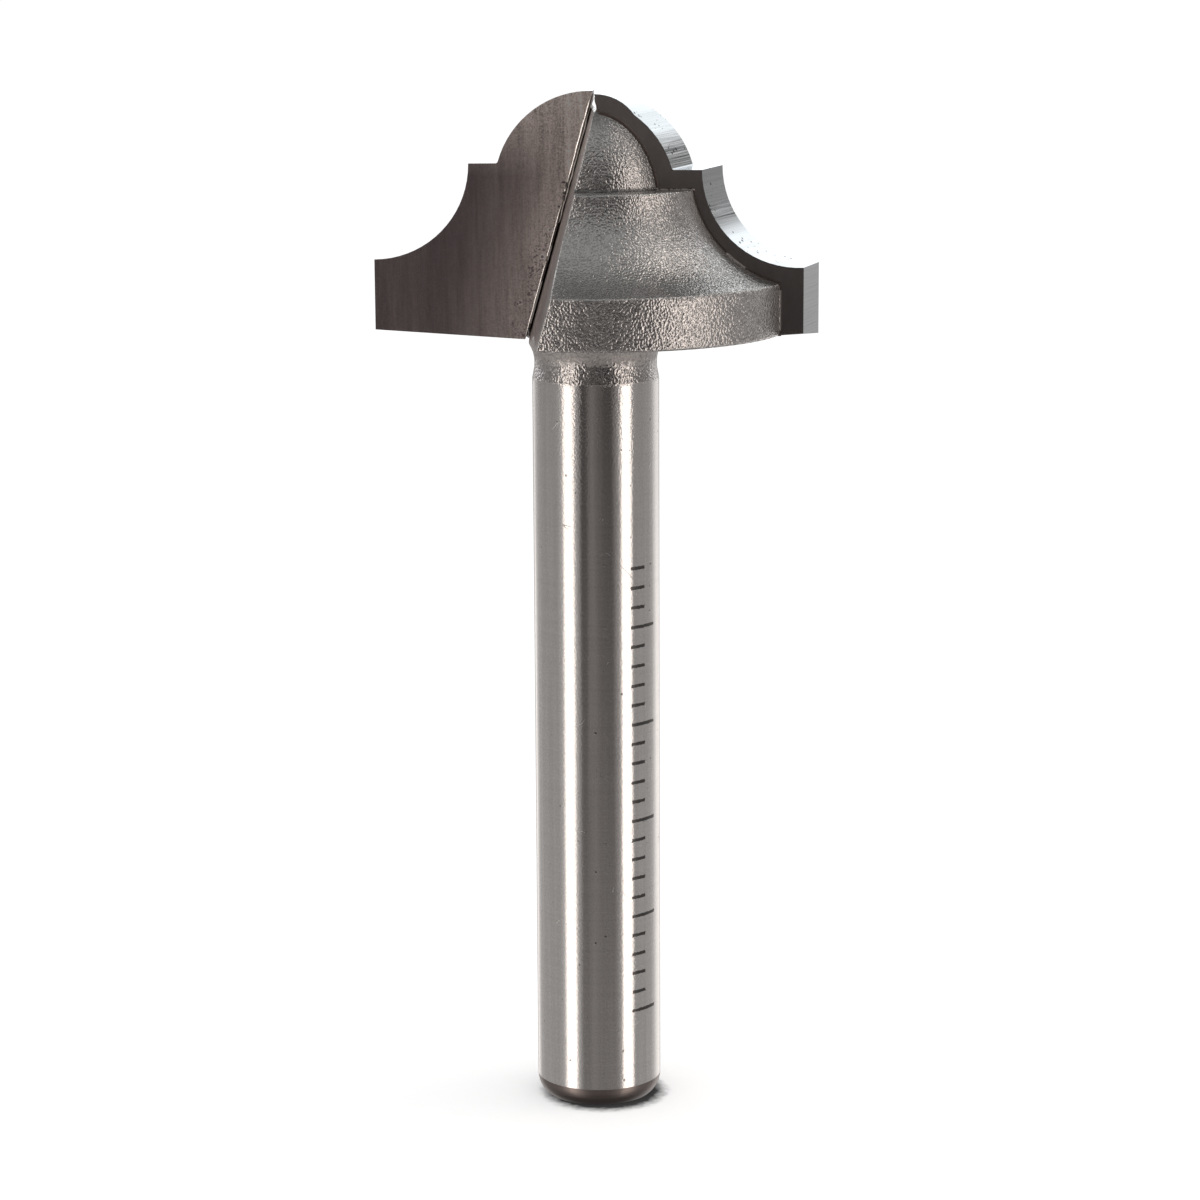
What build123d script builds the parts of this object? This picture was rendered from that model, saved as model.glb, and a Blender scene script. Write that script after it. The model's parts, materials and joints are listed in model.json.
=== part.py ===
from build123d import *
import os
from math import radians, sqrt, tan

# A two-flute carbide-tipped router bit that cuts a stepped round-and-cove profile.
# It stands on the end of its shank. The origin is the centre of the shank's end face, and +Z runs along
# the axis to the cutting point. Lengths are in millimetres and angles in degrees.

# Shank and neck
shank_diameter = 6.35
shank_end_diameter = 5.45
shank_end_rounding = 0.95
neck_length = 2.34
neck_diameter = 6.14
neck_taper_length = 0.55
neck_fillet_radius = 1.5

# Cutting profile, as it is ground on the rake face of each tip
overall_length = 51.42
cutting_diameter = 22.225
cutting_length = 11.84
crown_radius = 4.8
crown_axis_offset = 0.24
ledge_depth = 3.56
ledge_corner_radius = 0.14
cove_radius = 4.7625
lower_edge_slope = 3.8

# Carbide tips
tip_thickness = 1.8
rake_offset = 0.76
inner_edge_clearance = 0.1
inner_edge_angle = 15.67
relief_inward = 0.99
relief_downward = 0.11
rim_relief = 0.78
lower_edge_relief = 0.18
point_relief_reach = 3.05
point_relief_radius = 2.35

# Head of the body
head_diameter = 19.02
underside_rise = 0.06
band_height = 2.55
body_cove_radius = 5.6
shoulder_diameter = 11.06
shoulder_drop = 1.07
dome_foot_diameter = 8.12
dome_top_diameter = 5.1
dome_radius = 7.0
web_top_drop = 0.87
head_edge_radius = 0.15

# Gullets and braze
gullet_wall_angle = 4.4
gullet_edge_radius = 0.08
inner_groove_width = 0.18
braze_thickness = 0.06
braze_bead_width = 0.08
braze_overhang = 0.06

# Heights above the end of the shank
tip_height = overall_length
crown_centre_height = tip_height - crown_radius
ledge_height = tip_height - ledge_depth
rim_top_height = ledge_height - cove_radius
rim_foot_height = tip_height - cutting_length
underside_height = rim_foot_height + underside_rise
ground_height = underside_height - neck_length
band_top_height = underside_height + band_height
shoulder_height = ledge_height - shoulder_drop
web_top_height = tip_height - web_top_drop

# Radii, and distances across the bit in the plane of a rake face
shank_radius = shank_diameter / 2
end_inset = shank_radius - shank_end_diameter / 2
end_edge_radius = (shank_end_rounding**2 + end_inset**2) / (2 * end_inset)
neck_radius = neck_diameter / 2
head_radius = head_diameter / 2
rim_reach = sqrt((cutting_diameter / 2) ** 2 - rake_offset**2)
ledge_reach = rim_reach - cove_radius
back_offset = rake_offset + tip_thickness
seat_offset = back_offset + braze_thickness

# The gullet cutter passes clear of the head on every side
cutter_clearance = 2.0
cutter_reach = head_radius + cutter_clearance
cutter_foot = underside_height - neck_fillet_radius - cutter_clearance
cutter_top = tip_height + cutter_clearance


def crown_height(reach):
    """Height of the crown arc at a distance from the axis, on the rake face."""
    return crown_centre_height + sqrt(crown_radius**2 - (reach - crown_axis_offset) ** 2)


# Corners of the cutting edge on the rake face, each as a distance from the axis and a height
cutting_point = (inner_edge_clearance, crown_height(inner_edge_clearance))
kink = (point_relief_reach, crown_height(point_relief_reach))
corner_rise = ledge_height + ledge_corner_radius - crown_centre_height
corner_run = sqrt((crown_radius + ledge_corner_radius) ** 2 - corner_rise**2)
corner_centre = (crown_axis_offset + corner_run, crown_centre_height + corner_rise)
crown_share = crown_radius / (crown_radius + ledge_corner_radius)
crown_foot = (crown_axis_offset + corner_run * crown_share, crown_centre_height + corner_rise * crown_share)
ledge_end = (ledge_reach, ledge_height)
rim_top = (rim_reach, rim_top_height)
rim_foot = (rim_reach, rim_foot_height)


def inner_edge_reach(height):
    """Distance of a tip's inner edge from the axis at a height."""
    return cutting_point[0] + (cutting_point[1] - height) * tan(radians(inner_edge_angle))


def inner_foot(foot_reach, foot_height):
    """Inner end of a tip's lower edge, which drops from the foot of the rim towards the axis."""
    slope = tan(radians(lower_edge_slope))
    spread = tan(radians(inner_edge_angle))
    drop = slope * (foot_reach - inner_edge_reach(foot_height)) / (1 + slope * spread)
    return (inner_edge_reach(foot_height - drop), foot_height - drop)


def gullet_wall_reach(height, depth):
    """Distance of a gullet's wall from the axis at a height and a depth behind the axis plane."""
    at_rake_face = inner_edge_reach(height) - inner_groove_width
    return at_rake_face + (depth - rake_offset) * tan(radians(gullet_wall_angle))


def head_section(growth=0.0):
    """Half section of the blasted head, grown outwards above its underside."""
    rim = (head_radius + growth, band_top_height + growth)
    shoulder = (shoulder_diameter / 2 + growth, shoulder_height + growth)
    dome_foot = (dome_foot_diameter / 2 + growth, shoulder_height + growth)
    dome_top = (dome_top_diameter / 2 + growth, web_top_height + growth)
    with BuildLine() as outline:
        Polyline((0, dome_top[1]), (0, underside_height), (rim[0], underside_height), rim)
        RadiusArc(rim, shoulder, body_cove_radius - growth)
        Line(shoulder, dome_foot)
        RadiusArc(dome_foot, dome_top, -(dome_radius + growth))
        Line(dome_top, (0, dome_top[1]))
    make_face(outline.edges())


def tip_outline(depth, point, kink, point_radius, crown_foot, corner_centre, ledge_end, rim_top, rim_foot):
    """Edges of a tip's outline on one of its two flat faces, in order from the cutting point outwards."""
    corner_foot = (corner_centre[0], corner_centre[1] - ledge_corner_radius)
    inner = inner_foot(*rim_foot)
    with BuildLine(Plane.XZ.offset(depth)):
        return [
            RadiusArc(point, kink, point_radius),
            RadiusArc(kink, crown_foot, crown_radius),
            RadiusArc(crown_foot, corner_foot, -ledge_corner_radius),
            Line(corner_foot, ledge_end),
            RadiusArc(ledge_end, rim_top, -cove_radius),
            Line(rim_top, rim_foot),
            Line(rim_foot, inner),
            Line(inner, point),
        ]


def relieved(edge_point):
    """Where a point of the cutting edge lands on the back face of the tip."""
    return (edge_point[0] - relief_inward, edge_point[1] - relief_downward)


with BuildPart() as gullet:
    with BuildSketch(Plane.XZ.offset(seat_offset)):
        Polygon(
            (gullet_wall_reach(cutter_foot, seat_offset), cutter_foot),
            (cutter_reach, cutter_foot),
            (cutter_reach, cutter_top),
            (gullet_wall_reach(cutter_top, seat_offset), cutter_top),
            align=None,
        )
    extrude(amount=seat_offset + cutter_reach, dir=(-tan(radians(gullet_wall_angle)), 1, 0))

with BuildPart() as steel_body:
    with BuildSketch(Plane.XZ):
        with BuildLine():
            Polyline((0, underside_height), (0, 0), (shank_end_diameter / 2, 0))
            RadiusArc((shank_end_diameter / 2, 0), (shank_radius, shank_end_rounding), -end_edge_radius)
            Polyline(
                (shank_radius, shank_end_rounding),
                (shank_radius, ground_height),
                (neck_radius, ground_height + neck_taper_length),
                (neck_radius, underside_height - neck_fillet_radius),
            )
            RadiusArc(
                (neck_radius, underside_height - neck_fillet_radius),
                (neck_radius + neck_fillet_radius, underside_height),
                neck_fillet_radius,
            )
            Line((neck_radius + neck_fillet_radius, underside_height), (0, underside_height))
        make_face()
    revolve(axis=Axis.Z)
    with BuildSketch(Plane.XZ) as head_sketch:
        head_section()
        fillet(head_sketch.vertices().group_by(Axis.X)[-1], head_edge_radius)
        shoulder_corners = head_sketch.vertices().filter_by_position(Axis.Y, shoulder_height, shoulder_height)
        fillet(shoulder_corners, head_edge_radius)
    revolve(axis=Axis.Z)
    with PolarLocations(0, 2):
        add(gullet.part, mode=Mode.SUBTRACT)
    gullet_walls = steel_body.faces().filter_by(GeomType.PLANE).sort_by(SortBy.AREA)[-2:]
    beyond_seat = seat_offset + gullet_edge_radius
    heel_edges = gullet_walls.edges().filter_by(lambda edge: abs(edge.center().Y) > beyond_seat)
    fillet(heel_edges, gullet_edge_radius)

with BuildPart() as right_carbide_tip:
    cutting_edges = tip_outline(
        rake_offset, cutting_point, kink, crown_radius, crown_foot, corner_centre, ledge_end, rim_top, rim_foot
    )
    back_edges = tip_outline(
        back_offset,
        cutting_point,
        relieved(kink),
        point_relief_radius,
        relieved(crown_foot),
        relieved(corner_centre),
        relieved(ledge_end),
        (rim_reach - rim_relief, rim_top_height - relief_downward),
        (rim_reach - rim_relief, rim_foot_height + lower_edge_relief),
    )
    relief_faces = [Face.make_surface_from_curves(*pair) for pair in zip(cutting_edges, back_edges)]
    add(Solid(Shell([Face(Wire(cutting_edges)), Face(Wire(back_edges)), *relief_faces])))

with BuildPart() as right_braze_seam:
    for height in (cutter_foot, cutter_top):
        with BuildSketch(Plane.XY.offset(height)):
            Polygon(
                (inner_edge_reach(height), -rake_offset),
                (inner_edge_reach(height) - braze_bead_width, -rake_offset),
                (gullet_wall_reach(height, seat_offset), -seat_offset),
                (cutter_reach, -seat_offset),
                (cutter_reach, -back_offset),
                (inner_edge_reach(height), -back_offset),
                align=None,
            )
    loft(ruled=True)
    with BuildSketch(Plane.XZ):
        head_section(braze_overhang)
    revolve(axis=Axis.Z, mode=Mode.INTERSECT)

with BuildPart() as left_carbide_tip:
    add(right_carbide_tip.part, rotation=(0, 0, 180))

with BuildPart() as left_braze_seam:
    add(right_braze_seam.part, rotation=(0, 0, 180))

steel_body.part.label = "steel_body"
right_carbide_tip.part.label = "right_carbide_tip"
left_carbide_tip.part.label = "left_carbide_tip"
right_braze_seam.part.label = "right_braze_seam"
left_braze_seam.part.label = "left_braze_seam"

os.makedirs("parts", exist_ok=True)
export_step(steel_body.part, "parts/steel_body.step")
export_step(right_carbide_tip.part, "parts/right_carbide_tip.step")
export_step(left_carbide_tip.part, "parts/left_carbide_tip.step")
export_step(right_braze_seam.part, "parts/right_braze_seam.step")
export_step(left_braze_seam.part, "parts/left_braze_seam.step")
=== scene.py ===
"""Finishes of a two-flute carbide-tipped router bit, laid out as an add-on and run as a script.

The frame gives the bit's solids. This file gives each of them its material, lays the solder and the burnt
flux that the solids leave out, and sets up a small white studio with a camera. Lengths are in metres.
"""
import json
from math import cos, pi, radians, sin

import bmesh
import bpy
from bpy.props import FloatProperty, FloatVectorProperty, PointerProperty
from mathutils import Matrix, Quaternion, Vector, noise


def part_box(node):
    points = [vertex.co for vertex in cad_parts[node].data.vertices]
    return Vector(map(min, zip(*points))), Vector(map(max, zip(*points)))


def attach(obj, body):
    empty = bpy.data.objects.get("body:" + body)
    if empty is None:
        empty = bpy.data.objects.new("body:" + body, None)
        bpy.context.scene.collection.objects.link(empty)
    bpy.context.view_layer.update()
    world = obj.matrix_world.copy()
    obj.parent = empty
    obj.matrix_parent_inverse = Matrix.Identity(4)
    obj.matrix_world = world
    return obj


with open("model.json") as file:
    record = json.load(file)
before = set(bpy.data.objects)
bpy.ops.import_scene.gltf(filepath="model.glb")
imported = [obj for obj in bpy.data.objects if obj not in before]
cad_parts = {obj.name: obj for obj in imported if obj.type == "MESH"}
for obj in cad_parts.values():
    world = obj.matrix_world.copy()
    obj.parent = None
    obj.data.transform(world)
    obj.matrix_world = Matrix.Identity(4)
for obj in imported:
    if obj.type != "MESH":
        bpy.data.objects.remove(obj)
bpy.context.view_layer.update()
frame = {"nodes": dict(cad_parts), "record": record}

bl_info = {
    "name": "Router bit finishes",
    "version": (1, 0, 0),
    "blender": (4, 5, 0),
    "location": "3D View > Sidebar > Router bit",
    "description": "Materials, solder and a studio for a carbide-tipped router bit",
    "category": "Object",
}

MM = 0.001
BODY = "root"
HALF_TURN = Matrix.Rotation(pi, 4, "Z")
SIDES = (("right", Matrix.Identity(4)), ("left", HALF_TURN))

# Sizes that the frame gives
SHANK_MOUNT = next(m for m in frame["record"]["mounts"] if m["name"] == "shank")
SHANK_RADIUS = SHANK_MOUNT["dims"]["r_mm"] * MM
GROUND_LENGTH = SHANK_MOUNT["dims"]["length_mm"] * MM
GROUND_TOP = SHANK_MOUNT["pos_m"][2] + GROUND_LENGTH / 2
GROUND_FOOT = GROUND_TOP - GROUND_LENGTH
TIP_LOW, TIP_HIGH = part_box("right_carbide_tip")
RAKE_DEPTH = TIP_HIGH.y
BACK_DEPTH = TIP_LOW.y
WEB_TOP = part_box("steel_body")[1].z
SEAM_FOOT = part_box("right_braze_seam")[0].z

# Edges of the blasted head, set out from those sizes
BAND_TOP = SEAM_FOOT + 2.55 * MM
SHOULDER_TOP = WEB_TOP - 3.76 * MM
DOME_FOOT_RADIUS = 4.06 * MM


def rake_corners():
    """The right tip's cutting point and the inner end of its lower edge, both on the rake face."""
    corners = [v.co.copy() for v in frame["nodes"]["right_carbide_tip"].data.vertices]
    on_rake_face = [c for c in corners if abs(c.y - RAKE_DEPTH) < 0.01 * MM]
    return min(on_rake_face, key=lambda c: c.x), min(on_rake_face, key=lambda c: c.z)


CUTTING_POINT, INNER_FOOT = rake_corners()
INNER_SLOPE = (INNER_FOOT.x - CUTTING_POINT.x) / (CUTTING_POINT.z - INNER_FOOT.z)


def inner_edge(height):
    """Point of the right tip's inner edge, on the rake face, at a height."""
    return Vector((CUTTING_POINT.x + (CUTTING_POINT.z - height) * INNER_SLOPE, RAKE_DEPTH, height))


# Heights on a tip: the top of the rim, and the bands of the relief where grinding lines show, each given by
# the start and end of its rise and of its fall
RIM_TOP = 43.2 * MM
RELIEF_LINES = (
    ((47.9 * MM, 48.0 * MM), (48.9 * MM, 49.9 * MM)),
    ((45.3 * MM, 45.5 * MM), (46.0 * MM, 46.2 * MM)),
)

# Heights between which the solder is bright, on the seams and on the beads
SEAM_STRETCHES = ((39.9 * MM, 41.95 * MM), (43.0 * MM, 43.75 * MM), (46.75 * MM, 46.85 * MM))
BEAD_GLOSS = ((39.0 * MM, 43.0 * MM), (43.2 * MM, 46.0 * MM), (46.1 * MM, 51.4 * MM))

# Stretches of the bead beside each tip: lower end, upper end, and share of the full radius
BEAD_STRETCHES = {
    "left": ((39.25 * MM, 45.85 * MM, 0.8), (46.3 * MM, 46.6 * MM, 0.7), (46.95 * MM, 51.0 * MM, 1.4)),
    "right": ((39.25 * MM, 43.1 * MM, 0.9), (43.3 * MM, 48.4 * MM, 0.8), (48.6 * MM, 51.0 * MM, 1.1)),
}

# Lumps of solder under the foot of each seam: place from the inner foot of the rake face, and half widths
FOOT_LUMPS = (
    ((-0.12 * MM, -0.5 * MM, 0.35 * MM), (0.2 * MM, 0.5 * MM, 0.3 * MM)),
    ((-0.2 * MM, -1.2 * MM, 0.35 * MM), (0.22 * MM, 0.6 * MM, 0.3 * MM)),
)

# Lumps of burnt flux: height, place from the inner edge there, and half widths
FLUX_LUMPS = {
    "left": (
        (45.72 * MM, (0.13 * MM, 0.0, 0.0), (0.06 * MM, 0.03 * MM, 0.06 * MM)),
        (46.12 * MM, (-0.02 * MM, 0.0, 0.0), (0.07 * MM, 0.05 * MM, 0.17 * MM)),
        (46.4 * MM, (0.05 * MM, 0.0, 0.0), (0.06 * MM, 0.04 * MM, 0.1 * MM)),
        (46.75 * MM, (0.02 * MM, 0.01 * MM, 0.0), (0.07 * MM, 0.05 * MM, 0.16 * MM)),
        (46.92 * MM, (0.22 * MM, 0.0, 0.0), (0.1 * MM, 0.03 * MM, 0.05 * MM)),
    ),
    "right": (
        (43.2 * MM, (-0.04 * MM, 0.0, 0.0), (0.08 * MM, 0.05 * MM, 0.2 * MM)),
        (48.5 * MM, (-0.04 * MM, 0.0, 0.0), (0.07 * MM, 0.05 * MM, 0.16 * MM)),
    ),
}

# How far the bead is shifted from the inner edge, above 0 towards the gullet's wall, and the dull solder that
# fills the slit: its ends, radius and shift
BEAD_SHIFT = -0.03 * MM
SLIT_FILL = (44.9 * MM, 50.7 * MM)
SLIT_RADIUS = 0.06 * MM
SLIT_SHIFT = 0.1 * MM

# The solder at the point: thickness of its layer on the tip, and how far its foot swells
FILLET_LAYER = 0.1 * MM
FILLET_FOOT = 0.14 * MM


# Settings


class SteelSettings(bpy.types.PropertyGroup):
    """Colours and sizes of the steel body's finishes."""

    ground_colour: FloatVectorProperty(
        name="Ground colour", description="Colour of the ground shank", subtype="COLOR",
        size=3, min=0.0, max=1.0, default=(0.62, 0.605, 0.59),
    )
    ground_roughness: FloatProperty(
        name="Ground roughness", description="Roughness of the ground shank", subtype="FACTOR",
        min=0.0, max=1.0, default=0.21,
    )
    blasted_colour: FloatVectorProperty(
        name="Blasted colour", description="Colour of the bead-blasted head and neck", subtype="COLOR",
        size=3, min=0.0, max=1.0, default=(0.475, 0.459, 0.447),
    )
    blasted_roughness: FloatProperty(
        name="Blasted roughness", description="Roughness of the blasted surface between its bright specks",
        subtype="FACTOR", min=0.0, max=1.0, default=0.27,
    )
    grain_size: FloatProperty(
        name="Grain size", description="Width of one dimple of the blasted surface", unit="LENGTH",
        min=0.01 * MM, max=1.0 * MM, default=0.11 * MM, precision=6,
    )
    grain_depth: FloatProperty(
        name="Grain depth", description="Depth of one dimple of the blasted surface", unit="LENGTH",
        min=0.0, max=0.1 * MM, default=0.038 * MM, precision=6,
    )
    # The turned colour is the end's own dark colour and also painted shade from the floor
    turned_colour: FloatVectorProperty(
        name="Turned colour", description="Colour of the turned end of the shank", subtype="COLOR",
        size=3, min=0.0, max=1.0, default=(0.18, 0.155, 0.145),
    )
    milled_colour: FloatVectorProperty(
        name="Milled colour", description="Colour of the milled gullets", subtype="COLOR",
        size=3, min=0.0, max=1.0, default=(0.39, 0.37, 0.36),
    )
    mark_pitch: FloatProperty(
        name="Mark pitch", description="Distance between the marks of the etched depth scale",
        unit="LENGTH", min=0.5 * MM, max=10 * MM, default=1.0 * MM, precision=5,
    )
    mark_colour: FloatVectorProperty(
        name="Mark colour", description="Colour of the etched depth scale", subtype="COLOR",
        size=3, min=0.0, max=1.0, default=(0.15, 0.145, 0.14),
    )


class CarbideSettings(bpy.types.PropertyGroup):
    """Colours of the carbide tips."""

    # Both rake colours carry painted light: the light one beside the inner edge and towards the point, the
    # dark one towards the rim
    rake_light: FloatVectorProperty(
        name="Light rake colour", description="Colour of the rake faces beside the inner edge",
        subtype="COLOR", size=3, min=0.0, max=1.0, default=(0.85, 0.755, 0.71),
    )
    rake_dark: FloatVectorProperty(
        name="Dark rake colour", description="Colour of the rake faces towards the rim",
        subtype="COLOR", size=3, min=0.0, max=1.0, default=(0.21, 0.176, 0.178),
    )
    back_colour: FloatVectorProperty(
        name="Back colour", description="Colour of the backs of the tips", subtype="COLOR",
        size=3, min=0.0, max=1.0, default=(0.22, 0.205, 0.2),
    )
    relief_colour: FloatVectorProperty(
        name="Relief colour", description="Colour of the relief ground behind each edge", subtype="COLOR",
        size=3, min=0.0, max=1.0, default=(0.485, 0.505, 0.52),
    )


class SolderSettings(bpy.types.PropertyGroup):
    """Colours and sizes of the solder and of the burnt flux."""

    solder_colour: FloatVectorProperty(
        name="Solder colour", description="Colour of the silver solder", subtype="COLOR",
        size=3, min=0.0, max=1.0, default=(1.0, 0.97, 0.93),
    )
    dull_colour: FloatVectorProperty(
        name="Dull colour", description="Colour of the solder where it is tarnished", subtype="COLOR",
        size=3, min=0.0, max=1.0, default=(0.13, 0.11, 0.1),
    )
    flux_colour: FloatVectorProperty(
        name="Flux colour", description="Colour of the burnt flux", subtype="COLOR",
        size=3, min=0.0, max=1.0, default=(0.08, 0.066, 0.06),
    )
    bead_radius: FloatProperty(
        name="Bead radius", description="Radius of the solder bead beside a tip", unit="LENGTH",
        min=0.005 * MM, max=0.2 * MM, default=0.042 * MM, precision=6,
    )


class StudioSettings(bpy.types.PropertyGroup):
    """Where the camera stands, and how bright the studio is."""

    azimuth: FloatProperty(
        name="Azimuth", description="Camera's turn to the right of the view along +Y", subtype="ANGLE",
        default=radians(2.336),
    )
    elevation: FloatProperty(
        name="Elevation", description="Camera's height above the horizon", subtype="ANGLE",
        default=radians(11.268),
    )
    roll: FloatProperty(
        name="Roll", description="Camera's turn about its own axis", subtype="ANGLE",
        default=radians(-0.2956),
    )
    distance: FloatProperty(
        name="Distance", description="Camera's distance from the point that it looks at", unit="LENGTH",
        min=10 * MM, default=171.87 * MM, precision=5,
    )
    aim: FloatVectorProperty(
        name="Aim", description="Point that the camera looks at", subtype="TRANSLATION",
        size=3, default=(0.158 * MM, 0.006 * MM, 25.902 * MM), precision=6,
    )
    lens: FloatProperty(
        name="Lens", description="Focal length on a 36 mm sensor, in millimetres", min=10, max=500,
        default=101.74,
    )
    sky: FloatProperty(
        name="Sky", description="Strength of the white surroundings on matt surfaces", min=0.0, max=2.0,
        default=0.85,
    )
    floor_colour: FloatVectorProperty(
        name="Floor colour", description="Colour of the floor", subtype="COLOR",
        size=3, min=0.0, max=1.0, default=(0.88, 0.88, 0.88),
    )
    floor_lift: FloatProperty(
        name="Floor lift", description="Light added to the floor where it is seen directly", min=0.0, max=1.0,
        default=0.3,
    )
    lamp_colour: FloatVectorProperty(
        name="Lamp colour", description="Colour of the soft lamps", subtype="COLOR",
        size=3, min=0.0, max=1.0, default=(1.0, 0.92, 0.86),
    )


# Node tools


def add_node(tree, kind, inputs=None, **options):
    """A new node with its options set, and its inputs linked to sockets or set to values."""
    made = tree.nodes.new(kind)
    for name, value in options.items():
        setattr(made, name, value)
    for name, value in (inputs or {}).items():
        if isinstance(value, bpy.types.NodeSocket):
            tree.links.new(value, made.inputs[name])
        else:
            made.inputs[name].default_value = value
    return made


def calculate(tree, operation, *values, clamp=False):
    """The result of a Math node."""
    inputs = dict(enumerate(values))
    return add_node(tree, "ShaderNodeMath", inputs, operation=operation, use_clamp=clamp).outputs[0]


def product(tree, first, *others):
    """Values multiplied together."""
    for other in others:
        first = calculate(tree, "MULTIPLY", first, other)
    return first


def spread(tree, value, low, high, to_low=0.0, to_high=1.0, kind="LINEAR"):
    """A value carried from one range to another, and held inside it."""
    inputs = {"Value": value, "From Min": low, "From Max": high, "To Min": to_low, "To Max": to_high}
    return add_node(tree, "ShaderNodeMapRange", inputs, interpolation_type=kind, clamp=True).outputs["Result"]


def mix_values(tree, factor, first, second):
    """Two values blended by a factor."""
    inputs = {0: factor, 2: first, 3: second}
    return add_node(tree, "ShaderNodeMix", inputs, data_type="FLOAT").outputs[0]


def mix_colours(tree, factor, first, second, kind="MIX"):
    """Two colours blended by a factor."""
    made = add_node(tree, "ShaderNodeMix", {0: factor}, data_type="RGBA", blend_type=kind)
    for place, value in ((6, first), (7, second)):
        if isinstance(value, bpy.types.NodeSocket):
            tree.links.new(value, made.inputs[place])
        else:
            made.inputs[place].default_value = (*value[:3], 1.0)
    return made.outputs[2]


def shade(tree, colour, tone):
    """A colour made lighter or darker by a tone."""
    return mix_colours(tree, 1.0, colour, tone, "MULTIPLY")


def speckle(tree, vector, scale, detail=2.0, roughness=0.5, distortion=0.0):
    """Value of a noise texture."""
    inputs = {"Vector": vector, "Scale": scale, "Detail": detail, "Roughness": roughness}
    inputs["Distortion"] = distortion
    return add_node(tree, "ShaderNodeTexNoise", inputs).outputs["Fac"]


def axes_of(tree, vector):
    """The three coordinates of a position."""
    return add_node(tree, "ShaderNodeSeparateXYZ", {"Vector": vector}).outputs


def off_axis(tree, x, y):
    """Distance from the bit's axis."""
    return calculate(tree, "SQRT", calculate(tree, "MULTIPLY_ADD", x, x, product(tree, y, y)))


def between(tree, value, rise, fall):
    """1 between a rise and a fall, each given by where it starts and ends, and 0 outside them."""
    return product(tree, spread(tree, value, *rise), spread(tree, value, *fall, 1.0, 0.0))


def new_group(name, inputs, outputs):
    """An empty node group with named sockets, its input sockets and its output node."""
    group = bpy.data.node_groups.new(name, "ShaderNodeTree")
    for socket_name, socket_type, value in inputs:
        socket = group.interface.new_socket(socket_name, in_out="INPUT", socket_type=socket_type)
        if value is not None:
            socket.default_value = value
    for socket_name in outputs:
        group.interface.new_socket(socket_name, in_out="OUTPUT", socket_type="NodeSocketFloat")
    return group, group.nodes.new("NodeGroupInput").outputs, group.nodes.new("NodeGroupOutput")


def use_effect(tree, name, **inputs):
    """The outputs of a shared effect placed in a tree, with its inputs given in lower case."""
    if name not in bpy.data.node_groups:
        EFFECTS[name]()
    made = tree.nodes.new("ShaderNodeGroup")
    made.node_tree = bpy.data.node_groups[name]
    for input_name, value in inputs.items():
        socket = made.inputs[input_name.capitalize()]
        if isinstance(value, bpy.types.NodeSocket):
            tree.links.new(value, socket)
        else:
            socket.default_value = value
    return made.outputs


def new_material(name):
    """A material with an empty tree, and the position on the object."""
    material = bpy.data.materials.new(name)
    material.use_nodes = True
    tree = material.node_tree
    tree.nodes.clear()
    return material, tree, tree.nodes.new("ShaderNodeTexCoord").outputs["Object"]


def material_named(name):
    """A material that an earlier step has made."""
    found = bpy.data.materials.get(name)
    if found is None:
        raise RuntimeError(f"the material {name} has not been made")
    return found


def coat(tree, colour, roughness, height, depth, metallic=1.0, stretched=0.0):
    """The material's shader, with a bump, and a gloss that can be stretched up and down."""
    bump = add_node(tree, "ShaderNodeBump", {"Height": height, "Distance": depth})
    inputs = {
        "Base Color": colour,
        "Metallic": metallic,
        "Roughness": roughness,
        "Normal": bump.outputs["Normal"],
    }
    if stretched:
        tangent = add_node(tree, "ShaderNodeTangent", direction_type="RADIAL", axis="Z")
        inputs["Tangent"] = tangent.outputs["Tangent"]
        inputs["Anisotropic"] = stretched
        inputs["Anisotropic Rotation"] = 0.25
    shader = add_node(tree, "ShaderNodeBsdfPrincipled", inputs)
    add_node(tree, "ShaderNodeOutputMaterial", {"Surface": shader.outputs["BSDF"]})


# Shared effects


def blasted_grain():
    """Dimples left by bead blasting, and the faint mottling over them."""
    group, given, result = new_group(
        "Blasted grain",
        [("Position", "NodeSocketVector", None), ("Size", "NodeSocketFloat", 0.1 * MM)],
        ["Height", "Tone"],
    )
    density = calculate(group, "DIVIDE", 1.0, given["Size"])
    coarse = speckle(group, given["Position"], density, detail=0.5, roughness=0.5)
    fine = speckle(group, given["Position"], product(group, density, 2.1), detail=0.0)
    height = calculate(group, "MULTIPLY_ADD", fine, 0.15, coarse)
    group.links.new(height, result.inputs["Height"])
    slow = speckle(group, given["Position"], product(group, density, 0.25), detail=3.0)
    group.links.new(slow, result.inputs["Tone"])


def grinding_lines():
    """Parallel lines left by a grinding wheel, long where the scale is small."""
    group, given, result = new_group(
        "Grinding lines",
        [("Position", "NodeSocketVector", None), ("Scale", "NodeSocketVector", (1.0, 1.0, 1.0))],
        ["Height", "Tone"],
    )
    inputs = {0: given["Position"], 1: given["Scale"]}
    lines = add_node(group, "ShaderNodeVectorMath", inputs, operation="MULTIPLY").outputs[0]
    fine = speckle(group, lines, 1.0, detail=4.0, roughness=0.65)
    broad = speckle(group, lines, 0.22)
    tone = calculate(group, "MULTIPLY_ADD", broad, 0.5, product(group, fine, 0.5))
    group.links.new(fine, result.inputs["Height"])
    group.links.new(tone, result.inputs["Tone"])


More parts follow.
